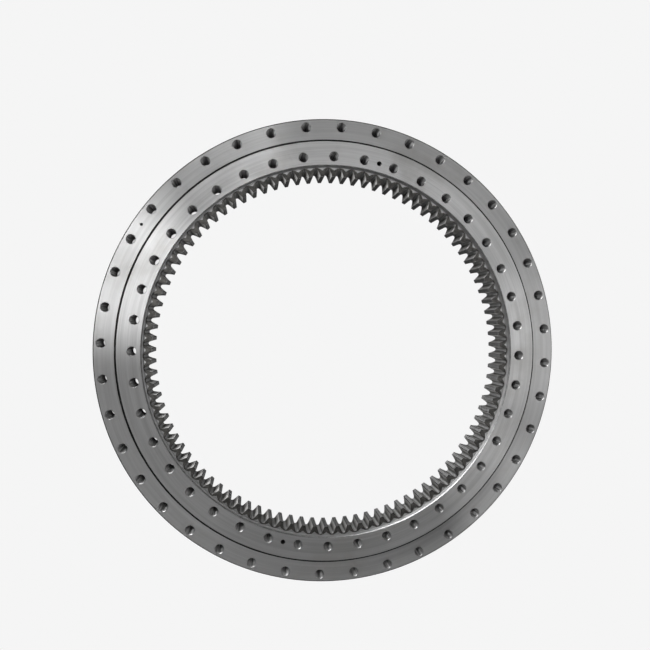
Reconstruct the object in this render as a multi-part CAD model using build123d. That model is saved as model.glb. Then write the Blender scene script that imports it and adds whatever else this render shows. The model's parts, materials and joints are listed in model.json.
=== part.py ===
from build123d import *
import math
import os

# Four-point contact ball slewing ring with an internal gear.
# Millimetres. The bearing axis is +Z and z = 0 is the lower face of the outer ring.
# Angles are in degrees, counter-clockwise from +X, seen from above.

os.makedirs("parts", exist_ok=True)

# Rings
OUTER_DIAMETER = 1242.0
OUTER_HEIGHT = 82.0
OUTER_BORE_RADIUS = 565.0
INNER_WALL_RADIUS = 560.5
INNER_BOTTOM = 4.0
INNER_TOP = 92.0
INNER_BORE_RADIUS = 495.0
RIM_CHAMFER = 2.5
GAP_CHAMFER = 1.0
BORE_CHAMFER = 2.5

# Bolt holes
BOLT_COUNT = 40
BOLT_HOLE_RADIUS = 12.0
BOLT_HOLE_CHAMFER = 1.0
OUTER_BOLT_CIRCLE = 1200.0
OUTER_BOLT_START = 6.34
INNER_BOLT_CIRCLE = 1040.0
INNER_BOLT_START = 8.25
BOLT_STEP = 360.0 / BOLT_COUNT

# Tapped lifting holes, each midway between two bolt holes of the inner ring
LIFTING_COUNT = 2
LIFTING_RADIUS = 5.1
LIFTING_DEPTH = 26.0
STEPS_TO_LIFTING = 7.5
LIFTING_START = INNER_BOLT_START + STEPS_TO_LIFTING * BOLT_STEP
DRILL_POINT_SLOPE = math.tan(math.radians(90 - 118 / 2))

# Internal gear
MODULE = 10.0
TEETH = 96
PRESSURE_ANGLE = math.radians(20.0)
TIP_RADIUS = 470.5
ROOT_RADIUS = 491.5
FLANK_END_RADIUS = 488.0
TOOTH_START = 2.65
TOOTH_EDGE_CHAMFER = 1.0
TOOTH_END_CHAMFER = 1.5
GEAR_TOP = 77.0
PITCH_RADIUS = MODULE * TEETH / 2
BASE_RADIUS = PITCH_RADIUS * math.cos(PRESSURE_ANGLE)

# Ball train
BALL_RADIUS = 17.5
BALL_CIRCLE_RADIUS = (OUTER_BORE_RADIUS + INNER_WALL_RADIUS) / 2
BALL_PLANE = (INNER_BOTTOM + OUTER_HEIGHT) / 2
BALL_SETS = 9
BALLS_PER_SET = 10
BALL_STEP = 360.0 / (BALL_SETS * BALLS_PER_SET)
RACEWAY_CLEARANCE = 0.5
RACEWAY_RADIUS = 18.6
SPACER_RADIUS = 13.0
SPACER_LENGTH = 10.0
SPACER_BORE_RADIUS = 3.0
SPACER_CLEARANCE = 0.3

# Seals: a bead in a groove of the outer ring and a lip that reaches up to the inner ring
SEAL_GROOVE_DEPTH = 6.0
SEAL_GROOVE_BOTTOM = 70.0
SEAL_GROOVE_HEIGHT = 5.5
SEAL_FIT = 0.2
SEAL_LIP_TOP = 79.5
SEAL_LIP_GAP = 1.0
SEAL_LIP_CHAMFER = 1.0
SEAL_LIP_BACK_GAP = 0.6
SEAL_LIP_LEAN = (0.7, 1.2)

# Filler plug, through which the balls go in, and its taper pin
STEPS_TO_PLUG = 15.5
PLUG_ANGLE = OUTER_BOLT_START + STEPS_TO_PLUG * BOLT_STEP
PLUG_RADIUS = 19.0
PLUG_CLEARANCE = 0.05
PLUG_INSET = 0.6
PLUG_TAP_RADIUS = 5.1
PLUG_TAP_DEPTH = 14.0
PIN_CIRCLE_RADIUS = 597.0
PIN_TOP = 76.0
PIN_BOTTOM = 12.0
PIN_RADIUS = 4.0
PIN_TAPER = 1.0 / 100
PIN_CLEARANCE = 0.05
PIN_MOUTH_RADIUS = 4.1
PIN_DRIFT_RADIUS = 3.0

# Grease nipples, sunk in the rim of the outer ring midway between bolt holes
NIPPLE_COUNT = 4
STEPS_PLUG_TO_NIPPLE = 5
NIPPLE_START = PLUG_ANGLE + STEPS_PLUG_TO_NIPPLE * BOLT_STEP
POCKET_RADIUS = 11.0
POCKET_DEPTH = 14.0
NIPPLE_THREAD_RADIUS = 4.95
NIPPLE_THREAD_LENGTH = 9.0
NIPPLE_THREAD_CHAMFER = 1.0
NIPPLE_TAP_RADIUS = 5.0
NIPPLE_TAP_DEPTH = 10.0
NIPPLE_HEX_FLATS = 11.0
NIPPLE_HEX_HEIGHT = 4.0
NIPPLE_NECK_RADIUS = 2.4
NIPPLE_HEAD_RADIUS = 3.3
NIPPLE_HEIGHT = 12.0
NIPPLE_BORE_RADIUS = 1.0
GREASE_PASSAGE_RADIUS = 3.0

OVERSHOOT = 1.0
RIM_RADIUS = OUTER_DIAMETER / 2


def face_of(points):
    """Closed flat outline in the plane through the axis, from (radius, height) points."""
    return make_face(Polyline(*points, close=True))


def turned(section):
    """Solid of revolution about the bearing axis."""
    return revolve(Plane.XZ * section, Axis.Z)


def box_section(inner, outer, bottom, top):
    """Rectangular ring section between two radii and two heights."""
    return face_of([(inner, bottom), (outer, bottom), (outer, top), (inner, top)])


def raceway_section(side):
    """Gothic arch of one raceway: two arcs that meet in its middle. Side is +1 outer, -1 inner."""
    offset = (RACEWAY_RADIUS - BALL_RADIUS - RACEWAY_CLEARANCE) / math.sqrt(2)
    centre = BALL_CIRCLE_RADIUS - side * offset
    upper = Pos(centre, BALL_PLANE - offset) * Circle(RACEWAY_RADIUS)
    lower = Pos(centre, BALL_PLANE + offset) * Circle(RACEWAY_RADIUS)
    return upper & lower


def around(count, start, radius, shape):
    """Copies of a shape, evenly spaced on a circle about the bearing axis."""
    return [spot * shape for spot in PolarLocations(radius, count, start)]


def rim_location(angle, radius):
    """Place in the ball plane whose own +Z points outwards along a ring radius."""
    return Pos(0, 0, BALL_PLANE) * Rot(0, 0, angle) * Rot(0, 90, 0) * Pos(0, 0, radius)


def peg(radius, length):
    """Cylinder that stands on its own origin."""
    return Cylinder(radius, length, align=(Align.CENTER, Align.CENTER, Align.MIN))


def through_hole(radius, bottom, top, chamfer):
    """Cutter for a hole whose edges are chamfered at both faces."""
    flare = radius + chamfer + OVERSHOOT
    return turned(face_of([
        (0, bottom - OVERSHOOT),
        (flare, bottom - OVERSHOOT),
        (radius, bottom + chamfer),
        (radius, top - chamfer),
        (flare, top + OVERSHOOT),
        (0, top + OVERSHOOT),
    ]))


def blind_hole(radius, top, depth, chamfer):
    """Cutter for a drilled hole with a chamfered mouth and the cone that the drill leaves."""
    flare = radius + chamfer + OVERSHOOT
    drill_cone = radius * DRILL_POINT_SLOPE
    return turned(face_of([
        (0, top - depth - drill_cone),
        (radius, top - depth),
        (radius, top - chamfer),
        (flare, top + OVERSHOOT),
        (0, top + OVERSHOOT),
    ]))


# Gear ------------------------------------------------------------------------------------


def involute(angle):
    """Involute function of a pressure angle in radians."""
    return math.tan(angle) - angle


def space_half_angle(radius):
    """Half the angle that one tooth space spans at a radius."""
    here = math.acos(BASE_RADIUS / radius)
    return math.pi / (2 * TEETH) - involute(here) + involute(PRESSURE_ANGLE)


def polar(radius, angle):
    """Point at a radius and an angle in radians."""
    return (radius * math.cos(angle), radius * math.sin(angle))


def tooth_space(middle):
    """Edges of one tooth space, open towards the bearing axis: chamfer, flank, root, flank, chamfer."""
    flank_start = TIP_RADIUS + TOOTH_EDGE_CHAMFER
    mouth_radius = TIP_RADIUS - OVERSHOOT
    mouth_half = space_half_angle(flank_start) + (TOOTH_EDGE_CHAMFER + OVERSHOOT) / TIP_RADIUS

    def flank_point(radius, side):
        return polar(radius, middle + side * space_half_angle(radius))

    def flank(start, end, side):
        through = flank_point(PITCH_RADIUS, side)
        return ThreePointArc(flank_point(start, side), through, flank_point(end, side))

    root_ends = [flank_point(FLANK_END_RADIUS, side) for side in (-1, 1)]
    return [
        Line(polar(mouth_radius, middle - mouth_half), flank_point(flank_start, -1)),
        flank(flank_start, FLANK_END_RADIUS, -1),
        ThreePointArc(root_ends[0], polar(ROOT_RADIUS, middle), root_ends[1]),
        flank(FLANK_END_RADIUS, flank_start, 1),
        Line(flank_point(flank_start, 1), polar(mouth_radius, middle + mouth_half)),
    ]


def gear_void():
    """Everything inside the tooth outline, as one prism through the gear's full width."""
    pitch = 2 * math.pi / TEETH
    first = math.radians(TOOTH_START) + pitch / 2
    edges = []
    for index in range(TEETH):
        space = tooth_space(first + index * pitch)
        if edges:
            edges.append(Line(edges[-1] @ 1, space[0] @ 0))
        edges += space
    edges.append(Line(edges[-1] @ 1, edges[0] @ 0))
    bottom = INNER_BOTTOM - OVERSHOOT
    outline = Pos(0, 0, bottom) * make_face(edges)
    return extrude(outline, GEAR_TOP + OVERSHOOT - bottom)


def make_inner_gear_ring():
    """Inner ring: plain bore above, teeth below, raceway and bolt circle."""
    tip_edge = TIP_RADIUS + TOOTH_END_CHAMFER
    section = face_of([
        (tip_edge, INNER_BOTTOM),
        (INNER_WALL_RADIUS - GAP_CHAMFER, INNER_BOTTOM),
        (INNER_WALL_RADIUS, INNER_BOTTOM + GAP_CHAMFER),
        (INNER_WALL_RADIUS, INNER_TOP - GAP_CHAMFER),
        (INNER_WALL_RADIUS - GAP_CHAMFER, INNER_TOP),
        (INNER_BORE_RADIUS + BORE_CHAMFER, INNER_TOP),
        (INNER_BORE_RADIUS, INNER_TOP - BORE_CHAMFER),
        (INNER_BORE_RADIUS, GEAR_TOP),
        (tip_edge, GEAR_TOP),
        (TIP_RADIUS, GEAR_TOP - TOOTH_END_CHAMFER),
        (TIP_RADIUS, INNER_BOTTOM + TOOTH_END_CHAMFER),
    ])
    ring = turned(section - raceway_section(-1))
    bolt_hole = through_hole(BOLT_HOLE_RADIUS, INNER_BOTTOM, INNER_TOP, BOLT_HOLE_CHAMFER)
    lifting_hole = blind_hole(LIFTING_RADIUS, INNER_TOP, LIFTING_DEPTH, BOLT_HOLE_CHAMFER)
    holes = around(BOLT_COUNT, INNER_BOLT_START, INNER_BOLT_CIRCLE / 2, bolt_hole)
    holes += around(LIFTING_COUNT, LIFTING_START, INNER_BOLT_CIRCLE / 2, lifting_hole)
    return ring - holes - gear_void()


# Outer ring and what is fitted in it -------------------------------------------------------


def mirrored_height(height):
    """Height of the same feature below the ball plane."""
    return 2 * BALL_PLANE - height


def seal_groove_section(mirrored):
    """Rectangular groove in the bore of the outer ring for one seal's bead."""
    heights = [SEAL_GROOVE_BOTTOM, SEAL_GROOVE_BOTTOM + SEAL_GROOVE_HEIGHT]
    if mirrored:
        heights = [mirrored_height(height) for height in reversed(heights)]
    return box_section(
        OUTER_BORE_RADIUS - OVERSHOOT, OUTER_BORE_RADIUS + SEAL_GROOVE_DEPTH, *heights
    )


def make_outer_blank():
    """Turned outer ring before any hole is drilled."""
    section = face_of([
        (OUTER_BORE_RADIUS + GAP_CHAMFER, 0),
        (RIM_RADIUS - RIM_CHAMFER, 0),
        (RIM_RADIUS, RIM_CHAMFER),
        (RIM_RADIUS, OUTER_HEIGHT - RIM_CHAMFER),
        (RIM_RADIUS - RIM_CHAMFER, OUTER_HEIGHT),
        (OUTER_BORE_RADIUS + GAP_CHAMFER, OUTER_HEIGHT),
        (OUTER_BORE_RADIUS, OUTER_HEIGHT - GAP_CHAMFER),
        (OUTER_BORE_RADIUS, GAP_CHAMFER),
    ])
    section -= raceway_section(1)
    section -= seal_groove_section(mirrored=False)
    section -= seal_groove_section(mirrored=True)
    return turned(section)


def pin_section(clearance):
    """Half section of the taper pin, or of its hole when a clearance is given."""
    top_radius = PIN_RADIUS + clearance
    bottom_radius = top_radius - (PIN_TOP - PIN_BOTTOM) * PIN_TAPER
    return face_of([(0, PIN_BOTTOM), (bottom_radius, PIN_BOTTOM), (top_radius, PIN_TOP), (0, PIN_TOP)])


def pin_location():
    """Axis of the taper pin in the outer ring."""
    return Rot(0, 0, PLUG_ANGLE) * Pos(PIN_CIRCLE_RADIUS, 0, 0)


def pin_hole():
    """Cutter for the pin: tapered seat, wider mouth above it and drift hole below it."""
    seat = turned(pin_section(PIN_CLEARANCE))
    mouth = Pos(0, 0, PIN_TOP) * peg(PIN_MOUTH_RADIUS, OUTER_HEIGHT - PIN_TOP + OVERSHOOT)
    drift = Pos(0, 0, -OVERSHOOT) * peg(PIN_DRIFT_RADIUS, PIN_BOTTOM + 2 * OVERSHOOT)
    return pin_location() * (seat + mouth + drift)


def plug_blank(radius, outer_end):
    """Cylinder along a ring radius, from inside the ball gap to a given radius."""
    start = INNER_WALL_RADIUS
    return rim_location(PLUG_ANGLE, start) * peg(radius, outer_end - start)


def make_filler_plug(outer_blank):
    """Plug with the raceway turned in its inner end and a tapped hole for pulling it out."""
    outer_end = RIM_RADIUS - PLUG_INSET
    plug = outer_blank & plug_blank(PLUG_RADIUS - PLUG_CLEARANCE, outer_end)
    tap = rim_location(PLUG_ANGLE, outer_end - PLUG_TAP_DEPTH) * peg(
        PLUG_TAP_RADIUS, PLUG_TAP_DEPTH + OVERSHOOT
    )
    return plug - tap - pin_hole()


def nipple_seat(angle):
    """Cutter for one grease point: pocket in the rim, tapped hole and passage to the raceway."""
    floor = RIM_RADIUS - POCKET_DEPTH
    tap_end = floor - NIPPLE_TAP_DEPTH
    pocket = rim_location(angle, floor) * peg(POCKET_RADIUS, POCKET_DEPTH + OVERSHOOT)
    tap = rim_location(angle, tap_end) * peg(NIPPLE_TAP_RADIUS, NIPPLE_TAP_DEPTH + OVERSHOOT)
    passage = rim_location(angle, BALL_CIRCLE_RADIUS) * peg(
        GREASE_PASSAGE_RADIUS, tap_end - BALL_CIRCLE_RADIUS + OVERSHOOT
    )
    return pocket + tap + passage


def nipple_angles():
    """Angles of the grease points."""
    return [NIPPLE_START + index * 360.0 / NIPPLE_COUNT for index in range(NIPPLE_COUNT)]


def make_outer_ring(outer_blank):
    """Outer ring with its bolt circle, plug bore, pin hole and grease points."""
    bolt_hole = through_hole(BOLT_HOLE_RADIUS, 0, OUTER_HEIGHT, BOLT_HOLE_CHAMFER)
    cutters = around(BOLT_COUNT, OUTER_BOLT_START, OUTER_BOLT_CIRCLE / 2, bolt_hole)
    cutters += [plug_blank(PLUG_RADIUS, RIM_RADIUS + OVERSHOOT), pin_hole()]
    cutters += [nipple_seat(angle) for angle in nipple_angles()]
    return outer_blank - cutters


def make_grease_nipple(angle):
    """Grease nipple: threaded shank, hexagon, neck and ball head, drilled through."""
    hexagon = extrude(RegularPolygon(NIPPLE_HEX_FLATS / 2, 6, major_radius=False), NIPPLE_HEX_HEIGHT)
    neck_end = NIPPLE_HEIGHT - 2 * NIPPLE_HEAD_RADIUS
    body = turned(face_of([
        (NIPPLE_BORE_RADIUS, -NIPPLE_THREAD_LENGTH),
        (NIPPLE_THREAD_RADIUS - NIPPLE_THREAD_CHAMFER, -NIPPLE_THREAD_LENGTH),
        (NIPPLE_THREAD_RADIUS, NIPPLE_THREAD_CHAMFER - NIPPLE_THREAD_LENGTH),
        (NIPPLE_THREAD_RADIUS, 0),
        (NIPPLE_BORE_RADIUS, 0),
    ]))
    stem = turned(face_of([
        (NIPPLE_BORE_RADIUS, NIPPLE_HEX_HEIGHT),
        (NIPPLE_HEAD_RADIUS, NIPPLE_HEX_HEIGHT),
        (NIPPLE_NECK_RADIUS, neck_end),
        (NIPPLE_HEAD_RADIUS, neck_end + NIPPLE_HEAD_RADIUS),
        (NIPPLE_HEAD_RADIUS, NIPPLE_HEIGHT - NIPPLE_HEAD_RADIUS / 2),
        (NIPPLE_NECK_RADIUS, NIPPLE_HEIGHT),
        (NIPPLE_BORE_RADIUS, NIPPLE_HEIGHT),
    ]))
    bore = Pos(0, 0, -OVERSHOOT) * peg(NIPPLE_BORE_RADIUS, NIPPLE_HEX_HEIGHT + 2 * OVERSHOOT)
    nipple = body + (hexagon - bore) + stem
    return rim_location(angle, RIM_RADIUS - POCKET_DEPTH) * nipple


def make_seal(mirrored):
    """Rubber seal: square bead held in the outer ring, lip turned towards the inner ring."""
    bead_back = OUTER_BORE_RADIUS + SEAL_GROOVE_DEPTH - SEAL_FIT
    bead_bottom = SEAL_GROOVE_BOTTOM + SEAL_FIT
    bead_top = SEAL_GROOVE_BOTTOM + SEAL_GROOVE_HEIGHT - SEAL_FIT
    lip_face = INNER_WALL_RADIUS + SEAL_LIP_GAP
    lip_back = OUTER_BORE_RADIUS - SEAL_LIP_BACK_GAP
    points = [
        (bead_back, bead_bottom),
        (bead_back, bead_top),
        (lip_back, bead_top),
        (lip_back, SEAL_LIP_TOP - SEAL_LIP_CHAMFER),
        (lip_back - SEAL_LIP_CHAMFER, SEAL_LIP_TOP),
        (lip_face, SEAL_LIP_TOP),
        (lip_face + SEAL_LIP_LEAN[0], bead_top),
        (lip_face + SEAL_LIP_LEAN[1], bead_bottom),
    ]
    if mirrored:
        points = [(radius, mirrored_height(height)) for radius, height in points]
    return turned(face_of(points))


# Ball train --------------------------------------------------------------------------------


def make_spacer():
    """Plastic spacer with a spherical seat for the ball on each side, drilled through."""
    half_chord = BALL_CIRCLE_RADIUS * math.sin(math.radians(BALL_STEP / 2))
    body = Cylinder(SPACER_RADIUS, SPACER_LENGTH) - Cylinder(SPACER_BORE_RADIUS, SPACER_LENGTH)
    for side in (-1, 1):
        body -= Pos(0, 0, side * half_chord) * Sphere(BALL_RADIUS + SPACER_CLEARANCE)
    return Rot(90, 0, 0) * body


def train_set(index, offset, radius, piece):
    """One sector of the train: equal pieces one ball step apart, as separate solids."""
    first = index * BALLS_PER_SET + offset
    angles = [(first + step) * BALL_STEP for step in range(BALLS_PER_SET)]
    places = [Rot(0, 0, angle) * Pos(radius, 0, BALL_PLANE) for angle in angles]
    return Compound([place * piece for place in places])


def make_ball_train():
    """Balls and spacers, each kind in sectors."""
    ball = Sphere(BALL_RADIUS)
    spacer = make_spacer()
    spacer_circle = BALL_CIRCLE_RADIUS * math.cos(math.radians(BALL_STEP / 2))
    nodes = {}
    for index in range(BALL_SETS):
        nodes[f"ball_set_{index + 1}"] = train_set(index, 0, BALL_CIRCLE_RADIUS, ball)
        nodes[f"spacer_set_{index + 1}"] = train_set(index, 0.5, spacer_circle, spacer)
    return nodes


def make_nodes():
    """Every node of the assembly by name."""
    outer_blank = make_outer_blank()
    nodes = {
        "outer_ring": make_outer_ring(outer_blank),
        "inner_gear_ring": make_inner_gear_ring(),
        "upper_seal": make_seal(mirrored=False),
        "lower_seal": make_seal(mirrored=True),
        "filler_plug": make_filler_plug(outer_blank),
        "plug_taper_pin": pin_location() * turned(pin_section(0)),
    }
    for index, angle in enumerate(nipple_angles()):
        nodes[f"grease_nipple_{index + 1}"] = make_grease_nipple(angle)
    return nodes | make_ball_train()


for name, shape in make_nodes().items():
    export_step(shape, f"parts/{name}.step")
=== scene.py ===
import json
import math

import bmesh
import bpy
from mathutils import Matrix, Quaternion, Vector


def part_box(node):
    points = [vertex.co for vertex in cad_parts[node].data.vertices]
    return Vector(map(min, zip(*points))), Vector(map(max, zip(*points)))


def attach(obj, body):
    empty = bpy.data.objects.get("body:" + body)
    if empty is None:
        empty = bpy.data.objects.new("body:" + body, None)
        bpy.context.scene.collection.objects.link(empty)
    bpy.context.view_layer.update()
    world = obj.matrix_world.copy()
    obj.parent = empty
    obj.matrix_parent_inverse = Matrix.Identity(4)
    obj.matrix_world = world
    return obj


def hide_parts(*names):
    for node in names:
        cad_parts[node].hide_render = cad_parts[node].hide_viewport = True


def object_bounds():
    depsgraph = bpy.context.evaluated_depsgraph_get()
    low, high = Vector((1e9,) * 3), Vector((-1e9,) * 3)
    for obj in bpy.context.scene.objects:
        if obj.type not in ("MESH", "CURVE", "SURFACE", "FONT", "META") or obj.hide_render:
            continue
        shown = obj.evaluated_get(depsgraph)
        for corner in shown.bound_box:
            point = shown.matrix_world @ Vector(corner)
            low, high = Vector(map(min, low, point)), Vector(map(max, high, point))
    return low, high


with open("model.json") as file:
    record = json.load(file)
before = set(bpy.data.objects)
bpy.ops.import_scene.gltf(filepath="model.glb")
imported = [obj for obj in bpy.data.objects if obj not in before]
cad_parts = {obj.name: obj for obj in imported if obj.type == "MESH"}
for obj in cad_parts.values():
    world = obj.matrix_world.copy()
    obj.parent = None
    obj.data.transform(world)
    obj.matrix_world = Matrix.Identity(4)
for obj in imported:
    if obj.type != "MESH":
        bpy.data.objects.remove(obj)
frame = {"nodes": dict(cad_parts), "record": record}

# Slewing ring bearing: fine meshes and materials round the fixed CAD frame.
# Metres, in the frame of the row: the bearing axis is +Z and the outer ring's lower face is z = 0.

CAD_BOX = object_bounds()
MM = 0.001

# Sizes read from the frame
OUTER_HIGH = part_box("outer_ring")[1]
INNER_LOW, INNER_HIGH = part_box("inner_gear_ring")
RIM_RADIUS = OUTER_HIGH.x
WALL_RADIUS = INNER_HIGH.x
OUTER_TOP = OUTER_HIGH.z
INNER_BOTTOM = INNER_LOW.z
INNER_TOP = INNER_HIGH.z
MOUNTS = {mount["name"]: mount for mount in frame["record"]["mounts"]}
BOLT_COUNT = MOUNTS["outer_bolt_circle"]["dims"]["count"]
BOLT_HOLE_RADIUS = MOUNTS["outer_bolt_circle"]["dims"]["hole_r_mm"] * MM
OUTER_BOLT_RADIUS = MOUNTS["outer_bolt_circle"]["dims"]["pcd_mm"] * MM / 2
INNER_BOLT_RADIUS = MOUNTS["inner_bolt_circle"]["dims"]["pcd_mm"] * MM / 2
LIFTING_COUNT = MOUNTS["lifting_holes"]["dims"]["count"]
LIFTING_RADIUS = MOUNTS["lifting_holes"]["dims"]["hole_r_mm"] * MM

# Sizes shared with the CAD model, angles in degrees from +X
OUTER_BORE_RADIUS = 565.0 * MM
RIM_CHAMFER = 2.5 * MM
GAP_CHAMFER = 1.0 * MM
HOLE_CHAMFER = 1.0 * MM
BORE_RADIUS = 495.0 * MM
BORE_CHAMFER = 2.5 * MM
BOLT_STEP = 360.0 / BOLT_COUNT
OUTER_BOLT_START = 6.34
INNER_BOLT_START = 8.25
LIFTING_START = INNER_BOLT_START + 7.5 * BOLT_STEP
LIFTING_DEPTH = 26.0 * MM
DRILL_POINT_ANGLE = 118.0
DRILL_POINT_SLOPE = math.tan(math.radians(90 - DRILL_POINT_ANGLE / 2))
RACEWAY_RADIUS = 18.6 * MM
RACEWAY_OFFSET = 0.6 * MM / math.sqrt(2)
BALL_PLANE = (INNER_BOTTOM + OUTER_TOP) / 2
BALL_CIRCLE = (OUTER_BORE_RADIUS + WALL_RADIUS) / 2

# Internal gear
TEETH = 96
PRESSURE_ANGLE = math.radians(20.0)
PITCH_RADIUS = 480.0 * MM
BASE_RADIUS = PITCH_RADIUS * math.cos(PRESSURE_ANGLE)
TIP_RADIUS = 470.5 * MM
ROOT_RADIUS = 491.5 * MM
FLANK_END_RADIUS = 488.0 * MM
TOOTH_START = 2.65
TOOTH_EDGE_CHAMFER = 1.0 * MM
TOOTH_END_CHAMFER = 1.5 * MM
SPACE_END_CHAMFER = 0.7 * MM
GEAR_TOP = 77.0 * MM

# Seals
SEAL_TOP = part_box("upper_seal")[1].z
SEAL_GROOVE_BOTTOM = 70.0 * MM
SEAL_GROOVE_HEIGHT = 5.5 * MM
SEAL_GROOVE_DEPTH = 6.0 * MM
SEAL_FIT = 0.2 * MM
SEAL_LIP_GAP = 1.0 * MM
SEAL_LIP_ROUND = 0.35 * MM

# Filler plug, its pin and the grease points
PLUG_ANGLE = OUTER_BOLT_START + 15.5 * BOLT_STEP
PLUG_RADIUS = 19.0 * MM
PIN_CIRCLE_RADIUS = 597.0 * MM
PIN_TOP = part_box("plug_taper_pin")[1].z
PIN_SEAT_RADIUS = 4.05 * MM
PIN_MOUTH_RADIUS = 4.1 * MM
PIN_DRIFT_RADIUS = 3.0 * MM
PIN_BOTTOM = 12.0 * MM
NIPPLE_COUNT = 4
NIPPLE_START = PLUG_ANGLE + 5 * BOLT_STEP
POCKET_RADIUS = 11.0 * MM
POCKET_DEPTH = 14.0 * MM
NIPPLE_TAP_RADIUS = 5.0 * MM
NIPPLE_TAP_DEPTH = 10.0 * MM
PASSAGE_RADIUS = 3.0 * MM

# Fineness of the meshes
RING_SIDES = 8 * TEETH
HOLE_SIDES = 48
RACEWAY_STEPS = 14
FLANK_STEPS = 7
ROOT_STEPS = 8
SMOOTH_ANGLE = math.radians(24.0)
OVERSHOOT = 1.0 * MM


# Meshes ------------------------------------------------------------------------------------


def polar(radius, angle, height=0.0):
    """Point at a radius, an angle in radians and a height."""
    return Vector((radius * math.cos(angle), radius * math.sin(angle), height))


def new_object(name, mesh, materials=()):
    """Object of a mesh with its materials, linked to the scene."""
    for material in materials:
        mesh.materials.append(material)
    made = bpy.data.objects.new(name, mesh)
    bpy.context.scene.collection.objects.link(made)
    return made


def close_loops(mesh, loops, finishes):
    """Faces between each loop of points and the next one; the finish is the face's material index."""
    for index, finish in enumerate(finishes):
        lower, upper = loops[index], loops[(index + 1) % len(loops)]
        for side, corner in enumerate(lower):
            following = (side + 1) % len(lower)
            face = mesh.faces.new((corner, lower[following], upper[following], upper[side]))
            face.material_index = finish


def turned_mesh(name, outline, sides):
    """Closed ring from (radius, height, finish of the face that starts there) points."""
    mesh = bmesh.new()
    loops = []
    for radius, height, _ in outline:
        turns = [polar(radius, 2 * math.pi * side / sides, height) for side in range(sides)]
        loops.append([mesh.verts.new(point) for point in turns])
    close_loops(mesh, loops, [finish for _, _, finish in outline])
    return to_mesh(name, mesh)


def to_mesh(name, mesh):
    """Blender mesh of a bmesh whose normals are turned outwards."""
    bmesh.ops.recalc_face_normals(mesh, faces=mesh.faces)
    made = bpy.data.meshes.new(name)
    mesh.to_mesh(made)
    mesh.free()
    return made


def add_lathe(mesh, outline, place):
    """Adds a solid of revolution about the place's own Z from (radius, height, finish) points."""
    loops = []
    for radius, height, _ in outline:
        turns = [polar(radius, 2 * math.pi * side / HOLE_SIDES, height) for side in range(HOLE_SIDES)]
        loops.append([mesh.verts.new(place @ point) for point in turns])
    close_loops(mesh, loops, [finish for _, _, finish in outline[:-1]])
    for cap in (reversed(loops[0]), loops[-1]):
        mesh.faces.new(list(cap)).material_index = DRILLED


def steps(first, last, count):
    """Evenly spaced values from first to last, both included."""
    return [first + (last - first) * index / count for index in range(count + 1)]


def cut(piece, cutter_mesh):
    """Takes a closed cutter away from a piece for good, keeping the cutter's finishes on its walls."""
    cutter = new_object("cutter", cutter_mesh, piece.data.materials)
    modifier = piece.modifiers.new("cut", "BOOLEAN")
    modifier.operation = "DIFFERENCE"
    modifier.solver = "MANIFOLD"
    modifier.material_mode = "INDEX"
    modifier.object = cutter
    graph = bpy.context.evaluated_depsgraph_get()
    shaped = bpy.data.meshes.new_from_object(piece.evaluated_get(graph))
    piece.modifiers.clear()
    blank = piece.data
    piece.data = shaped
    bpy.data.meshes.remove(blank)
    bpy.data.objects.remove(cutter)
    bpy.data.meshes.remove(cutter_mesh)


def finish_piece(piece, body, replaced):
    """Shades a piece and ties it to the frame."""
    piece.data.name = piece.name
    piece.data.shade_smooth()
    piece.data.set_sharp_from_angle(angle=SMOOTH_ANGLE)
    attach(piece, body)
    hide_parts(replaced)


# Finishes: the material index of a face. The near-black finish is painted shade on the chamfers and walls by
# the gap, on the rim chamfers, in the lifting holes and at the pin's mouth.
FACE, DRILLED, EDGE, PAINTED_SHADE, RACEWAY, FLANK, TIP, TOOTH_END, BORE = range(9)


def raceway_outline(side):
    """Gothic arch of one raceway, from below upwards: side is +1 in the outer ring and -1 in the inner."""
    centre = BALL_CIRCLE - side * RACEWAY_OFFSET
    mouth = OUTER_BORE_RADIUS if side > 0 else WALL_RADIUS
    reach = math.acos((mouth - centre) * side / RACEWAY_RADIUS)
    crest = math.acos(RACEWAY_OFFSET / RACEWAY_RADIUS)
    lower = []
    for turn in steps(reach, math.pi / 2 - crest, RACEWAY_STEPS):
        radius = centre + side * RACEWAY_RADIUS * math.cos(turn)
        lower.append((radius, BALL_PLANE + RACEWAY_OFFSET - RACEWAY_RADIUS * math.sin(turn)))
    upper = [(radius, 2 * BALL_PLANE - height) for radius, height in reversed(lower[:-1])]
    return [(radius, height, RACEWAY) for radius, height in lower + upper]


def bolt_cutter(mesh, radius, angle, bottom, top):
    """Adds a cutter for a through hole with chamfered edges."""
    flare = BOLT_HOLE_RADIUS + HOLE_CHAMFER + OVERSHOOT
    outline = [
        (flare, bottom - OVERSHOOT, EDGE),
        (BOLT_HOLE_RADIUS, bottom + HOLE_CHAMFER, DRILLED),
        (BOLT_HOLE_RADIUS, top - HOLE_CHAMFER, EDGE),
        (flare, top + OVERSHOOT, EDGE),
    ]
    add_lathe(mesh, outline, upright(radius, angle))


def upright(radius, angle):
    """Place on the ring, at a radius and an angle in degrees, whose Z is the bearing's Z."""
    return Matrix.Translation(polar(radius, math.radians(angle)))


def outward(angle):
    """Place on the bearing axis in the ball plane whose own Z points outwards at an angle in degrees."""
    turn = Matrix.Rotation(math.radians(angle), 4, "Z")
    return Matrix.Translation((0, 0, BALL_PLANE)) @ turn @ Matrix.Rotation(math.pi / 2, 4, "Y")


# Outer ring --------------------------------------------------------------------------------


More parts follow.
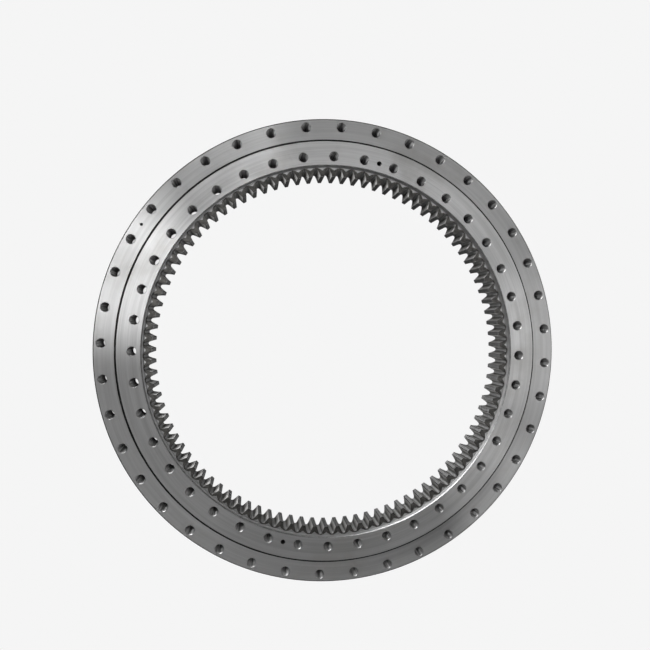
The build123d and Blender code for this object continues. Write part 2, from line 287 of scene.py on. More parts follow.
def outer_outline():
    """Section of the outer ring, anticlockwise from the bottom of its bore."""
    groove_back = OUTER_BORE_RADIUS + SEAL_GROOVE_DEPTH
    groove_top = SEAL_GROOVE_BOTTOM + SEAL_GROOVE_HEIGHT
    groove = [
        (OUTER_BORE_RADIUS, SEAL_GROOVE_BOTTOM, FACE),
        (groove_back, SEAL_GROOVE_BOTTOM, FACE),
        (groove_back, groove_top, FACE),
        (OUTER_BORE_RADIUS, groove_top, FACE),
    ]
    lower_groove = [(radius, 2 * BALL_PLANE - height, FACE) for radius, height, _ in reversed(groove)]
    # Near-black painted shade on the rim chamfers and on the chamfers and walls by the gap
    rim = [
        (OUTER_BORE_RADIUS + GAP_CHAMFER, 0.0, FACE),
        (RIM_RADIUS - RIM_CHAMFER, 0.0, PAINTED_SHADE),
        (RIM_RADIUS, RIM_CHAMFER, FACE),
        (RIM_RADIUS, OUTER_TOP - RIM_CHAMFER, PAINTED_SHADE),
        (RIM_RADIUS - RIM_CHAMFER, OUTER_TOP, FACE),
        (OUTER_BORE_RADIUS + GAP_CHAMFER, OUTER_TOP, PAINTED_SHADE),
        (OUTER_BORE_RADIUS, OUTER_TOP - GAP_CHAMFER, PAINTED_SHADE),
    ]
    bore = list(reversed(lower_groove + raceway_outline(1) + groove))
    return rim + bore + [(OUTER_BORE_RADIUS, GAP_CHAMFER, PAINTED_SHADE)]


def outer_holes():
    """Cutters of the bolt circle, the plug's bore and the grease points."""
    mesh = bmesh.new()
    for index in range(BOLT_COUNT):
        bolt_cutter(mesh, OUTER_BOLT_RADIUS, OUTER_BOLT_START + index * BOLT_STEP, 0.0, OUTER_TOP)
    outside = RIM_RADIUS + OVERSHOOT
    plug_bore = [(PLUG_RADIUS, WALL_RADIUS, DRILLED), (PLUG_RADIUS, outside, DRILLED)]
    add_lathe(mesh, plug_bore, outward(PLUG_ANGLE))
    pocket_floor = RIM_RADIUS - POCKET_DEPTH
    tap_end = pocket_floor - NIPPLE_TAP_DEPTH
    grease_point = [
        (PASSAGE_RADIUS, BALL_CIRCLE, DRILLED),
        (PASSAGE_RADIUS, tap_end, DRILLED),
        (NIPPLE_TAP_RADIUS, tap_end, DRILLED),
        (NIPPLE_TAP_RADIUS, pocket_floor, FACE),
        (POCKET_RADIUS, pocket_floor, DRILLED),
        (POCKET_RADIUS, RIM_RADIUS - HOLE_CHAMFER, EDGE),
        (POCKET_RADIUS + HOLE_CHAMFER + OVERSHOOT, outside, EDGE),
    ]
    for index in range(NIPPLE_COUNT):
        angle = NIPPLE_START + index * 360.0 / NIPPLE_COUNT
        add_lathe(mesh, grease_point, outward(angle))
    return to_mesh("outer_holes", mesh)


def pin_hole():
    """Cutter of the taper pin's seat with the wider mouth above it and the drift hole below."""
    mesh = bmesh.new()
    outline = [
        (PIN_DRIFT_RADIUS, -OVERSHOOT, DRILLED),
        (PIN_DRIFT_RADIUS, PIN_BOTTOM, DRILLED),
        (PIN_SEAT_RADIUS, PIN_TOP, DRILLED),
        # Mouth of the pin hole in near-black painted shade
        (PIN_MOUTH_RADIUS, PIN_TOP, PAINTED_SHADE),
        (PIN_MOUTH_RADIUS, OUTER_TOP + OVERSHOOT, PAINTED_SHADE),
    ]
    add_lathe(mesh, outline, upright(PIN_CIRCLE_RADIUS, PLUG_ANGLE))
    return to_mesh("pin_hole", mesh)


def make_outer_ring(materials):
    """Outer ring with every hole."""
    blank = turned_mesh("outer_blank", outer_outline(), RING_SIDES)
    ring = new_object("outer_ring_fine", blank, materials)
    cut(ring, outer_holes())
    cut(ring, pin_hole())
    finish_piece(ring, "outer_ring", "outer_ring")


# Inner ring --------------------------------------------------------------------------------


def inner_outline():
    """Section of the inner ring, anticlockwise from the lower edge of the tooth tips.

    The wall above the raceway starts at the raceway's last point and is finished like the faces.
    """
    tip_edge = TIP_RADIUS + TOOTH_END_CHAMFER
    wall = raceway_outline(-1)
    wall_radius, wall_start, _ = wall.pop()
    return [
        (TIP_RADIUS, INNER_BOTTOM + TOOTH_END_CHAMFER, TIP),
        (tip_edge, INNER_BOTTOM, TOOTH_END),
        (BORE_RADIUS, INNER_BOTTOM, FACE),
        # Near-black painted shade on the chamfers and the wall by the gap
        (WALL_RADIUS - GAP_CHAMFER, INNER_BOTTOM, PAINTED_SHADE),
        (WALL_RADIUS, INNER_BOTTOM + GAP_CHAMFER, PAINTED_SHADE),
        *wall,
        (wall_radius, wall_start, FACE),
        (WALL_RADIUS, INNER_TOP - GAP_CHAMFER, PAINTED_SHADE),
        (WALL_RADIUS - GAP_CHAMFER, INNER_TOP, FACE),
        (BORE_RADIUS + BORE_CHAMFER, INNER_TOP, EDGE),
        (BORE_RADIUS, INNER_TOP - BORE_CHAMFER, BORE),
        (BORE_RADIUS, GEAR_TOP, TOOTH_END),
        (tip_edge, GEAR_TOP, TIP),
        (TIP_RADIUS, GEAR_TOP - TOOTH_END_CHAMFER, TIP),
    ]


def involute(angle):
    """Involute function of a pressure angle in radians."""
    return math.tan(angle) - angle


def space_half_angle(radius):
    """Half the angle that a tooth space spans at a radius."""
    here = math.acos(BASE_RADIUS / radius)
    at_pitch = math.acos(BASE_RADIUS / PITCH_RADIUS)
    return math.pi / (2 * TEETH) - involute(here) + involute(at_pitch)


def space_outline():
    """(radius, angle from the middle) points round one tooth space: mouth, flank, root, flank, mouth."""
    flank_start = TIP_RADIUS + TOOTH_EDGE_CHAMFER
    mouth_half = space_half_angle(flank_start) + (TOOTH_EDGE_CHAMFER + OVERSHOOT) / TIP_RADIUS
    flank = [(TIP_RADIUS - OVERSHOOT, mouth_half)]
    for radius in steps(flank_start, FLANK_END_RADIUS, FLANK_STEPS):
        flank.append((radius, space_half_angle(radius)))
    half = space_half_angle(FLANK_END_RADIUS)
    chord, half_width = FLANK_END_RADIUS * math.cos(half), FLANK_END_RADIUS * math.sin(half)
    rise = ROOT_RADIUS - chord
    round_radius = (half_width**2 + rise**2) / (2 * rise)
    centre = ROOT_RADIUS - round_radius
    reach = math.atan2(half_width, chord - centre)
    root = []
    for turn in steps(-reach, reach, ROOT_STEPS)[1:-1]:
        across = round_radius * math.sin(turn)
        along = centre + round_radius * math.cos(turn)
        root.append((math.hypot(across, along), math.atan2(across, along)))
    near_side = [(radius, -angle) for radius, angle in flank]
    return near_side + root + list(reversed(flank))


def gear_outline():
    """Flat points round all tooth spaces, anticlockwise."""
    pitch = 2 * math.pi / TEETH
    first = math.radians(TOOTH_START) + pitch / 2
    space = space_outline()
    return [polar(radius, first + index * pitch + angle) for index in range(TEETH) for radius, angle in space]


def grown(outline, distance):
    """The outline with every point moved away from the axis side by a distance, square to its edges."""
    moved = []
    for index, point in enumerate(outline):
        before = (point - outline[index - 1]).normalized()
        after = (outline[(index + 1) % len(outline)] - point).normalized()
        along = (before + after).normalized()
        square = Vector((along.y, -along.x, 0))
        moved.append(point + square * distance)
    return moved


def gear_void():
    """Cutter of everything inside the teeth, flared at both ends to break the edges of the teeth."""
    outline = gear_outline()
    levels = [
        (INNER_BOTTOM - SPACE_END_CHAMFER, 2 * SPACE_END_CHAMFER),
        (INNER_BOTTOM + SPACE_END_CHAMFER, 0.0),
        (GEAR_TOP - SPACE_END_CHAMFER, 0.0),
        (GEAR_TOP + SPACE_END_CHAMFER, 2 * SPACE_END_CHAMFER),
    ]
    mesh = bmesh.new()
    loops = []
    for height, flare in levels:
        lift = Vector((0, 0, height))
        loops.append([mesh.verts.new(point + lift) for point in grown(outline, flare)])
    for lower, upper in zip(loops, loops[1:]):
        for side in range(len(outline)):
            following = (side + 1) % len(outline)
            mesh.faces.new((lower[side], lower[following], upper[following], upper[side]))
    for cap in (reversed(loops[0]), loops[-1]):
        mesh.faces.new(list(cap))
    for face in mesh.faces:
        face.material_index = FLANK
    return to_mesh("gear_void", mesh)


def inner_holes():
    """Cutters of the bolt circle and the blind lifting holes."""
    mesh = bmesh.new()
    for index in range(BOLT_COUNT):
        bolt_cutter(mesh, INNER_BOLT_RADIUS, INNER_BOLT_START + index * BOLT_STEP, INNER_BOTTOM, INNER_TOP)
    floor = INNER_TOP - LIFTING_DEPTH
    lifting_hole = [
        # Walls of the lifting holes in near-black painted shade
        (LIFTING_RADIUS / 100, floor - LIFTING_RADIUS * DRILL_POINT_SLOPE, PAINTED_SHADE),
        (LIFTING_RADIUS, floor, PAINTED_SHADE),
        (LIFTING_RADIUS, INNER_TOP - HOLE_CHAMFER, PAINTED_SHADE),
        (LIFTING_RADIUS + HOLE_CHAMFER + OVERSHOOT, INNER_TOP + OVERSHOOT, EDGE),
    ]
    for index in range(LIFTING_COUNT):
        angle = LIFTING_START + index * 360.0 / LIFTING_COUNT
        add_lathe(mesh, lifting_hole, upright(INNER_BOLT_RADIUS, angle))
    return to_mesh("inner_holes", mesh)


def make_inner_ring(materials):
    """Inner ring with its teeth and holes."""
    blank = turned_mesh("inner_blank", inner_outline(), RING_SIDES)
    ring = new_object("inner_gear_ring_fine", blank, materials)
    cut(ring, inner_holes())
    cut(ring, gear_void())
    finish_piece(ring, "inner_ring", "inner_gear_ring")


# Seals -------------------------------------------------------------------------------------


def seal_outline(mirrored):
    """Section of a seal: bead in the groove and a lip with a rounded edge against the inner ring."""
    bead_back = OUTER_BORE_RADIUS + SEAL_GROOVE_DEPTH - SEAL_FIT
    bead_bottom = SEAL_GROOVE_BOTTOM + SEAL_FIT
    bead_top = SEAL_GROOVE_BOTTOM + SEAL_GROOVE_HEIGHT - SEAL_FIT
    lip_face = WALL_RADIUS + SEAL_LIP_GAP
    lip_back = OUTER_BORE_RADIUS - 3 * SEAL_FIT
    points = [
        (bead_back, bead_bottom),
        (bead_back, bead_top),
        (lip_back, bead_top),
        (lip_back - SEAL_LIP_ROUND, bead_top + SEAL_LIP_ROUND),
        (lip_back - SEAL_LIP_ROUND, SEAL_TOP - 3 * SEAL_LIP_ROUND),
        (lip_back - 3 * SEAL_LIP_ROUND, SEAL_TOP),
        (lip_face + SEAL_LIP_ROUND, SEAL_TOP),
        (lip_face, SEAL_TOP - SEAL_LIP_ROUND),
        (lip_face + 2 * SEAL_LIP_ROUND, bead_top),
        (lip_face + 3 * SEAL_LIP_ROUND, bead_bottom),
    ]
    if mirrored:
        points = [(radius, 2 * BALL_PLANE - height) for radius, height in reversed(points)]
    return [(radius, height, 0) for radius, height in points]


def make_seals(rubber):
    """Both seals, held by the outer ring."""
    for name, mirrored in (("upper_seal", False), ("lower_seal", True)):
        mesh = turned_mesh(name, seal_outline(mirrored), RING_SIDES)
        piece = new_object(name + "_fine", mesh, [rubber])
        finish_piece(piece, "outer_ring", name)


# Materials ---------------------------------------------------------------------------------

# Values of a noise between which a pattern goes from its first colour to its second
EVEN_SPREAD = (0.35, 0.65)
SCALE_SPREAD = (0.35, 0.7)

# Shares of the height that count in a pattern stretched down a drilled hole or along a tooth
ALONG_STREAKS = 0.04
ALONG_TEETH = 0.06

# Painted shade along the gap, the rim and the bore edge: how far it reaches from each edge, and the shares of
# that reach between which it ends
GAP_SHADE_REACH = 0.8 * MM
RIM_SHADE_REACH = 0.5 * MM
INNER_SHADE_REACH = 0.4 * MM
EDGE_SHADE_END = (0.7, 1.2)

# Turned faces: share of the broad tool marks in the tone, the rest being fine marks
BROAD_SHARE = 0.65

# Painted shade across the inner ring: how far it darkens the steel on the far side, and the azimuth in
# degrees of the lit side, where there is none
FAR_SIDE_SHADE = 0.70
LIT_SIDE_AZIMUTH = 70.0

# Reflections stretch across the marks of a tool when the anisotropy is turned by a quarter
QUARTER_TURN = 0.25

# Scale of the hardening on the tooth ends: its edge over a tooth, its rise round a space, its raggedness
END_SCALE_RADIUS = 486.5 * MM
END_SCALE_RISE = 8.0 * MM
END_SCALE_RAGGED = 5.0 * MM

# Flanks are rubbed bright up to a radius and scaled from another; the roots begin beyond them
RUBBED_RADIUS = 476.0 * MM
SCALED_RADIUS = 489.0 * MM
ROOT_RADII = (488.5 * MM, 490.5 * MM)

# Painted shade along the flank edges, a dark outline of each tooth: depths from the tooth tip and from the
# gear's upper end
SHADE_BY_TIP = (1.0 * MM, 2.6 * MM)
SHADE_BY_END = (1.6 * MM, 0.9 * MM)


def colours_of(sockets):
    """The colour sockets of a node."""
    return [socket for socket in sockets if socket.type == "RGBA"]


def grey(value, warmth=0.0):
    """Grey of a linear brightness, a little yellow when warmth is above 0."""
    return (value * (1 + warmth), value, value * (1 - 2 * warmth), 1.0)


class Shader:
    """Node tree of one material round a Principled BSDF, with one short call for each kind of node."""

    def __init__(self, name):
        self.material = bpy.data.materials.new(name)
        self.material.use_nodes = True
        self.tree = self.material.node_tree
        self.tree.nodes.clear()
        output = self.tree.nodes.new("ShaderNodeOutputMaterial")
        self.surface = self.tree.nodes.new("ShaderNodeBsdfPrincipled")
        self.tree.links.new(self.surface.outputs[0], output.inputs["Surface"])
        self.place = self.tree.nodes.new("ShaderNodeTexCoord").outputs["Object"]

    def feed(self, socket, value):
        """Links an output to a socket, or sets the socket to a constant."""
        if isinstance(value, bpy.types.NodeSocket):
            self.tree.links.new(value, socket)
        else:
            socket.default_value = value

    def set(self, **values):
        """Sets sockets of the surface; an underscore in a name stands for a space."""
        for name, value in values.items():
            self.feed(self.surface.inputs[name.replace("_", " ")], value)

    def math(self, operation, *values, clamp=False):
        """Arithmetic on one, two or three numbers."""
        node = self.tree.nodes.new("ShaderNodeMath")
        node.operation = operation
        node.use_clamp = clamp
        for socket, value in zip(node.inputs, values):
            self.feed(socket, value)
        return node.outputs[0]

    def vector(self, operation, first, second=None, output="Vector"):
        """Arithmetic on vectors."""
        node = self.tree.nodes.new("ShaderNodeVectorMath")
        node.operation = operation
        self.feed(node.inputs[0], first)
        if second is not None:
            self.feed(node.inputs[1], second)
        return node.outputs[output]

    def axes(self, vector):
        """The three numbers of a vector."""
        node = self.tree.nodes.new("ShaderNodeSeparateXYZ")
        self.feed(node.inputs[0], vector)
        return node.outputs

    def joined(self, x, y, z):
        """Vector of three numbers."""
        node = self.tree.nodes.new("ShaderNodeCombineXYZ")
        for socket, value in zip(node.inputs, (x, y, z)):
            self.feed(socket, value)
        return node.outputs[0]

    def noise(self, vector, scale=1.0, detail=2.0, roughness=0.5, fourth=None):
        """Noise from about 0.25 to 0.75, in three dimensions or four."""
        node = self.tree.nodes.new("ShaderNodeTexNoise")
        if fourth is not None:
            node.noise_dimensions = "4D"
            self.feed(node.inputs["W"], fourth)
        self.feed(node.inputs["Vector"], vector)
        self.feed(node.inputs["Scale"], scale)
        self.feed(node.inputs["Detail"], detail)
        self.feed(node.inputs["Roughness"], roughness)
        return node.outputs["Fac"]

    def between(self, value, low, high, start=0.0, end=1.0):
        """Smooth step of a value from low to high, onto start to end."""
        node = self.tree.nodes.new("ShaderNodeMapRange")
        node.interpolation_type = "SMOOTHSTEP"
        for socket, number in zip(node.inputs, (value, low, high, start, end)):
            self.feed(socket, number)
        return node.outputs[0]

    def mix(self, factor, first, second, blend="MIX"):
        """Blend of two colours."""
        node = self.tree.nodes.new("ShaderNodeMix")
        node.data_type = "RGBA"
        node.blend_type = blend
        self.feed(node.inputs["Factor"], factor)
        for socket, colour in zip(colours_of(node.inputs), (first, second)):
            self.feed(socket, colour)
        return colours_of(node.outputs)[0]

    def bump(self, height, distance, strength=1.0):
        """Dents of a height from 0 to 1 into the surface's normal."""
        node = self.tree.nodes.new("ShaderNodeBump")
        self.feed(node.inputs["Height"], height)
        self.feed(node.inputs["Distance"], distance)
        self.feed(node.inputs["Strength"], strength)
        self.feed(self.surface.inputs["Normal"], node.outputs[0])


def about_axis(shader):
    """Radius, direction and height of the shaded point about the bearing axis."""
    x, y, z = shader.axes(shader.place)
    flat = shader.joined(x, y, 0.0)
    radius = shader.vector("LENGTH", flat, output="Value")
    return radius, shader.vector("NORMALIZE", flat), z


def ring_marks(shader, width, turns, detail=2.0):
    """Noise in rings about the axis: width is that of one mark, turns how often it changes round the ring."""
    radius, direction, height = about_axis(shader)
    x, y, _ = shader.axes(direction)
    spot = shader.joined(
        shader.math("MULTIPLY", x, turns),
        shader.math("MULTIPLY", y, turns),
        shader.math("DIVIDE", radius, width),
    )
    return shader.noise(spot, detail=detail, fourth=shader.math("DIVIDE", height, width))


def brush_round(shader, anisotropy):
    """Stretches reflections across marks that run round the bearing axis."""
    tangent = shader.tree.nodes.new("ShaderNodeTangent")
    tangent.direction_type = "RADIAL"
    tangent.axis = "Z"
    shader.set(Tangent=tangent.outputs[0], Anisotropic=anisotropy, Anisotropic_Rotation=QUARTER_TURN)


def brush_level(shader, anisotropy):
    """Stretches reflections up and down a wall whose fine marks run level."""
    geometry = shader.tree.nodes.new("ShaderNodeNewGeometry")
    level = shader.vector("CROSS_PRODUCT", geometry.outputs["Normal"], (0.0, 0.0, 1.0))
    shader.set(Tangent=level, Anisotropic=anisotropy, Anisotropic_Rotation=QUARTER_TURN)


def painted_edge_shade(shader, edge, reach):
    """Painted shade: 1 at a turned edge, falling to 0 at a ragged distance from it; the edge and the reach
    are in metres.
    """
    radius, _, _ = about_axis(shader)
    ragged = shader.noise(shader.place, scale=24.0, detail=5.0, roughness=0.65)
    distance = shader.math("ABSOLUTE", shader.math("SUBTRACT", radius, edge))
    share = shader.math("DIVIDE", distance, shader.math("MULTIPLY", ragged, 2 * reach))
    return shader.between(share, *EDGE_SHADE_END, 1.0, 0.0)


def painted_side_shade(shader, lit_side):
    """Painted shade across the ring, from 0 on the lit side at an azimuth in degrees to 1 on the side
    opposite.
    """
    _, direction, _ = about_axis(shader)
    # Direction of the lit side, where there is no painted shade
    clean = polar(1.0, math.radians(lit_side))
    side = shader.vector("DOT_PRODUCT", direction, clean, output="Value")
    return shader.between(side, -1.0, 1.0, 1.0, 0.0)


def turned_steel(name, bright, dull, shaded_edges, lit_side=None):
    """Fine-turned bare steel with a film of oil in stains: tool marks round the axis, painted shade along its
    edges, and painted shade on one side when a lit side is given.
    """
    shader = Shader(name)
    bands = ring_marks(shader, width=8.0 * MM, turns=1.6)
    lines = ring_marks(shader, width=1.3 * MM, turns=5.0)
    film = shader.noise(shader.place, scale=6.0, detail=5.0, roughness=0.62)
    smudges = shader.noise(shader.place, scale=34.0, detail=4.0, roughness=0.6)
    tone = shader.math("MULTIPLY_ADD", bands, BROAD_SHARE, shader.math("MULTIPLY", lines, 1.0 - BROAD_SHARE))
    colour = shader.mix(shader.between(tone, 0.36, 0.64), dull, bright)
    if lit_side is not None:
        # Painted shade: the face darkens towards the side away from the lit side
        colour = shader.mix(painted_side_shade(shader, lit_side), colour, grey(FAR_SIDE_SHADE), blend="MULTIPLY")
    stain = shader.between(film, 0.5, 0.72)
    colour = shader.mix(shader.math("MULTIPLY", stain, 0.3), colour, grey(0.40, warmth=0.035))
    spot = shader.between(smudges, 0.6, 0.75)
    colour = shader.mix(shader.math("MULTIPLY", spot, 0.12), colour, grey(0.30, warmth=0.02))
    # Painted shade that darkens the face along each edge
    for edge, reach in shaded_edges:
        colour = shader.mix(painted_edge_shade(shader, edge, reach), colour, grey(0.05, warmth=0.02))
    rough = shader.math("MULTIPLY_ADD", tone, 0.06, 0.34)
    rough = shader.math("MULTIPLY_ADD", stain, 0.05, rough)
    shader.set(Base_Color=colour, Metallic=1.0, Roughness=rough)
    brush_round(shader, 1.0)
    shader.bump(lines, 0.02 * MM)
    return shader.material


def drilled_steel(name):
    """Drilled wall: dull steel with streaks down its depth, fine rings of the drill and a little rust."""
    shader = Shader(name)
    x, y, z = shader.axes(shader.place)
    down = shader.joined(x, y, shader.math("MULTIPLY", z, ALONG_STREAKS))
    streaks = shader.noise(down, scale=260.0, detail=2.0)
    rings = shader.noise(shader.joined(0.0, 0.0, z), scale=900.0, detail=2.0)
    rust = shader.noise(shader.place, scale=60.0, detail=4.0, roughness=0.6)
    colour = shader.mix(shader.between(streaks, *EVEN_SPREAD), grey(0.32), grey(0.76))
    colour = shader.mix(shader.between(rust, 0.55, 0.8), colour, grey(0.20, warmth=0.06))
    shader.set(Base_Color=colour, Metallic=0.5, Roughness=shader.math("MULTIPLY_ADD", rust, 0.2, 0.4))
    brush_level(shader, 1.0)
    shader.bump(rings, 0.05 * MM)
    return shader.material


def edge_steel(name):
    """Chamfers: turned a little coarser than the faces and rubbed brighter by handling."""
    shader = Shader(name)
    worn = shader.noise(shader.place, scale=75.0, detail=4.0, roughness=0.6)
    colour = shader.mix(shader.between(worn, *EVEN_SPREAD), grey(0.44), grey(0.66))
    shader.set(Base_Color=colour, Metallic=1.0)
    shader.set(Roughness=shader.math("MULTIPLY_ADD", worn, 0.2, 0.22))
    shader.bump(worn, 0.05 * MM, 0.5)
    return shader.material


def shade_painted_steel(name):
    """Painted shade: near-black steel for the chamfers and walls by the gap, the rim chamfers, the lifting
    holes and the pin's mouth, mottled by noise.
    """
    shader = Shader(name)
    shade_mottle = shader.noise(shader.place, scale=120.0, detail=4.0, roughness=0.6)
    colour = shader.mix(shader.between(shade_mottle, 0.4, 0.7), grey(0.035), grey(0.09, warmth=0.02))
    shader.set(Base_Color=colour, Metallic=0.8)
    shader.set(Roughness=shader.math("MULTIPLY_ADD", shade_mottle, 0.3, 0.35))
    shader.bump(shade_mottle, 0.03 * MM, 0.5)
    return shader.material


def tip_steel(name):
    """Tooth tips: turned before the teeth were cut, so marked across each tooth, with a few rust specks."""
    shader = Shader(name)
    lines = ring_marks(shader, width=1.0 * MM, turns=9.0)
    specks = shader.noise(shader.place, scale=150.0, detail=4.0, roughness=0.6)
    colour = shader.mix(shader.between(lines, *EVEN_SPREAD), grey(0.30), grey(0.42))
    colour = shader.mix(shader.between(specks, 0.55, 0.75), colour, grey(0.20, warmth=0.04))
    shader.set(Base_Color=colour, Metallic=0.9)
    shader.set(Roughness=shader.math("MULTIPLY_ADD", specks, 0.2, 0.4))
    brush_level(shader, 1.0)
    shader.bump(lines, 0.03 * MM)
    return shader.material


def bore_steel(name):
    """Wall of the bore above the teeth: finely turned and wiped clean."""
    shader = Shader(name)
    lines = ring_marks(shader, width=0.8 * MM, turns=9.0)
    cloud = shader.noise(shader.place, scale=28.0, detail=4.0, roughness=0.6)
    colour = shader.mix(shader.between(lines, *EVEN_SPREAD), grey(0.61), grey(0.76))
    colour = shader.mix(shader.between(cloud, 0.55, 0.8, 0.0, 0.6), colour, grey(0.38, warmth=0.02))
    shader.set(Base_Color=colour, Metallic=0.9)
    shader.set(Roughness=shader.math("MULTIPLY_ADD", cloud, 0.2, 0.35))
    brush_level(shader, 1.0)
    shader.bump(lines, 0.02 * MM)
    return shader.material


def raceway_steel(name):
    """Ground and hardened raceway with a trace of grease."""
    shader = Shader(name)
    lines = ring_marks(shader, width=0.6 * MM, turns=6.0)
    grease = shader.noise(shader.place, scale=22.0, detail=4.0, roughness=0.6)
    colour = shader.mix(shader.between(lines, *EVEN_SPREAD), grey(0.40), grey(0.50))
    colour = shader.mix(shader.between(grease, 0.5, 0.7), colour, (0.32, 0.27, 0.17, 1.0))
    shader.set(Base_Color=colour, Metallic=1.0, Roughness=0.22)
    brush_round(shader, 0.6)
    shader.bump(lines, 0.01 * MM)
    return shader.material


def tooth_wave(shader):
    """0 at the middle of each tooth and 1 at the middle of each space."""
    x, y, _ = shader.axes(shader.place)
    angle = shader.math("ARCTAN2", y, x)
    half_turns = shader.math("SUBTRACT", angle, math.radians(TOOTH_START))
    wave = shader.math("SINE", shader.math("MULTIPLY", half_turns, TEETH / 2))
    return shader.math("ABSOLUTE", wave)


def tooth_end_steel(name):
    """End faces of the teeth: dark scale of the hardening in scallops round the spaces, then bare steel."""
    shader = Shader(name)
    radius, _, _ = about_axis(shader)
    ragged = shader.noise(shader.place, scale=260.0, detail=3.0, roughness=0.6)
    edge = shader.math("MULTIPLY_ADD", tooth_wave(shader), END_SCALE_RISE, END_SCALE_RADIUS)
    offset = shader.math("MULTIPLY", shader.math("SUBTRACT", ragged, 0.5), END_SCALE_RAGGED)
    edge = shader.math("ADD", edge, offset)
    bare = shader.between(shader.math("SUBTRACT", radius, edge), -1.0 * MM, 1.2 * MM)
    lines = ring_marks(shader, width=0.9 * MM, turns=6.0)
    scale = shader.noise(shader.place, scale=90.0, detail=4.0, roughness=0.65)
    dark = shader.mix(shader.between(scale, *SCALE_SPREAD), grey(0.07, warmth=0.02), grey(0.14, warmth=0.03))
    light = shader.mix(shader.between(lines, *EVEN_SPREAD), grey(0.40), grey(0.54))
    shader.set(Base_Color=shader.mix(bare, dark, light), Metallic=1.0)
    shader.set(Roughness=shader.math("MULTIPLY_ADD", bare, -0.12, 0.5))
    shader.bump(shader.math("ADD", scale, lines), 0.03 * MM)
    return shader.material


def tooth_space_steel(name):
    """Flanks and roots: cutter marks along the teeth, flanks bright near the tip and scaled near the root."""
    shader = Shader(name)
    radius, _, z = about_axis(shader)
    x, y, _ = shader.axes(shader.place)
    stretched = shader.joined(x, y, shader.math("MULTIPLY", z, ALONG_TEETH))
    marks = shader.noise(stretched, scale=700.0, detail=3.0, roughness=0.55)
    scale = shader.noise(shader.place, scale=55.0, detail=5.0, roughness=0.65)
    root = shader.between(radius, *ROOT_RADII)
    blotches = shader.between(scale, *SCALE_SPREAD)
    rubbed = shader.mix(blotches, grey(0.84, warmth=0.01), grey(1.0))
    scaled = shader.mix(blotches, grey(0.24, warmth=0.02), grey(0.42, warmth=0.01))
    flank = shader.mix(shader.between(radius, RUBBED_RADIUS, SCALED_RADIUS), rubbed, scaled)
    light = shader.mix(shader.between(marks, *EVEN_SPREAD), grey(0.50), grey(0.66))
    colour = shader.mix(shader.math("MULTIPLY", root, 0.85), flank, light)
    # Painted shade: a dark outline along the tip and the upper end of each flank
    tip_start, tip_end = [TIP_RADIUS + depth for depth in SHADE_BY_TIP]
    by_tip = shader.between(radius, tip_start, tip_end, 1.0, 0.0)
    end_start, end_full = [GEAR_TOP - depth for depth in SHADE_BY_END]
    by_end = shader.between(z, end_start, end_full)
    flank_edge_shade = shader.math("MAXIMUM", by_tip, by_end)
    colour = shader.mix(shader.math("MULTIPLY", flank_edge_shade, 0.9), colour, grey(0.05, warmth=0.02))
    shader.set(Base_Color=colour, Metallic=0.9)
    shader.set(Roughness=shader.math("MULTIPLY_ADD", scale, 0.2, 0.42))
    brush_level(shader, 0.9)
    shader.bump(marks, 0.04 * MM)
    return shader.material


def seal_rubber(name):
    """Black nitrile rubber, dull, with dust and a slightly oily lip."""
    shader = Shader(name)
    grain = shader.noise(shader.place, scale=1400.0, detail=2.0)
    dust = shader.noise(shader.place, scale=40.0, detail=5.0, roughness=0.65)
    colour = shader.mix(shader.between(dust, 0.45, 0.8), grey(0.012), grey(0.035, warmth=0.02))
    shader.set(Base_Color=colour, Roughness=shader.math("MULTIPLY_ADD", dust, 0.3, 0.4))
    shader.bump(grain, 0.05 * MM)
    return shader.material


def ball_steel(name):
    """Polished bearing balls with a thin, uneven film of grease."""
    shader = Shader(name)
    grease = shader.noise(shader.place, scale=45.0, detail=4.0, roughness=0.6)
    film = shader.between(grease, 0.5, 0.68)
    shader.set(Base_Color=shader.mix(film, grey(0.72), (0.52, 0.44, 0.28, 1.0)), Metallic=1.0)
    shader.set(Roughness=shader.math("MULTIPLY_ADD", film, 0.22, 0.06))
    shader.bump(grease, 0.05 * MM, 0.4)
    return shader.material


def spacer_nylon(name):
    """Natural nylon, moulded, lightly clouded."""
    shader = Shader(name)
    cloud = shader.noise(shader.place, scale=120.0, detail=3.0, roughness=0.55)
    grain = shader.noise(shader.place, scale=1800.0, detail=2.0)
    colour = shader.mix(cloud, (0.78, 0.72, 0.58, 1.0), (0.88, 0.85, 0.75, 1.0))
    shader.set(Base_Color=colour, Roughness=shader.math("MULTIPLY_ADD", cloud, 0.2, 0.35))
    shader.set(Subsurface_Weight=0.15)
    shader.bump(grain, 0.03 * MM)
    return shader.material


def nipple_brass(name):
    """Bare brass, dulled in patches."""
    shader = Shader(name)
    tarnish = shader.noise(shader.place, scale=320.0, detail=4.0, roughness=0.6)
    marks = shader.noise(shader.place, scale=2600.0, detail=2.0)
    patch = shader.between(tarnish, 0.42, 0.7)
    shader.set(Base_Color=shader.mix(patch, (0.78, 0.57, 0.24, 1.0), (0.42, 0.29, 0.12, 1.0)), Metallic=1.0)
    shader.set(Roughness=shader.math("MULTIPLY_ADD", patch, 0.3, 0.22))
    shader.bump(marks, 0.02 * MM)
    return shader.material


def plain_steel(name, bright, dull):
    """Small turned or ground steel piece with fine marks and a few dark specks."""
    shader = Shader(name)
    marks = shader.noise(shader.place, scale=1500.0, detail=3.0, roughness=0.6)
    cloud = shader.noise(shader.place, scale=110.0, detail=4.0, roughness=0.6)
    colour = shader.mix(shader.between(marks, *EVEN_SPREAD), grey(dull), grey(bright))
    colour = shader.mix(shader.between(cloud, 0.55, 0.8), colour, grey(dull / 3, warmth=0.05))
    shader.set(Base_Color=colour, Metallic=1.0)
    shader.set(Roughness=shader.math("MULTIPLY_ADD", cloud, 0.25, 0.22))
    shader.bump(marks, 0.02 * MM)
    return shader.material


def dress_node(name, material):
    """Gives a CAD node its material in every slot."""
    node = frame["nodes"][name]
    for slot in node.material_slots:
        slot.material = material


